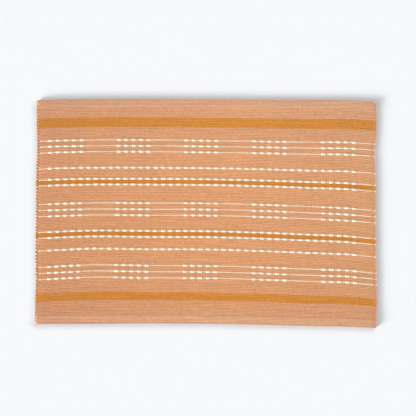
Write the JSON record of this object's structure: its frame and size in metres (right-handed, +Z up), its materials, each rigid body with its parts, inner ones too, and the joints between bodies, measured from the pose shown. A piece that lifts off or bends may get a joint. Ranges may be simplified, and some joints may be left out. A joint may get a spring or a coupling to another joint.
{
  "type": "fabric placemat",
  "caption": "Flat rectangular woven cotton placemat with weft ribs, coloured stripes, raised dashed lines and folded hems on its long edges.",
  "frame": {"origin": "middle of the underside, on the table", "axes": "+X along the weft from selvedge to selvedge, +Y along the warp from hem to hem, +Z up"},
  "size_m": [0.464, 0.3092, 0.0027],
  "materials": {
    "salmon_cotton": "matt ribbed cotton weave"
  },
  "bodies": {
    "root": {"mat_cloth": "salmon_cotton"}
  },
  "joints": []
}
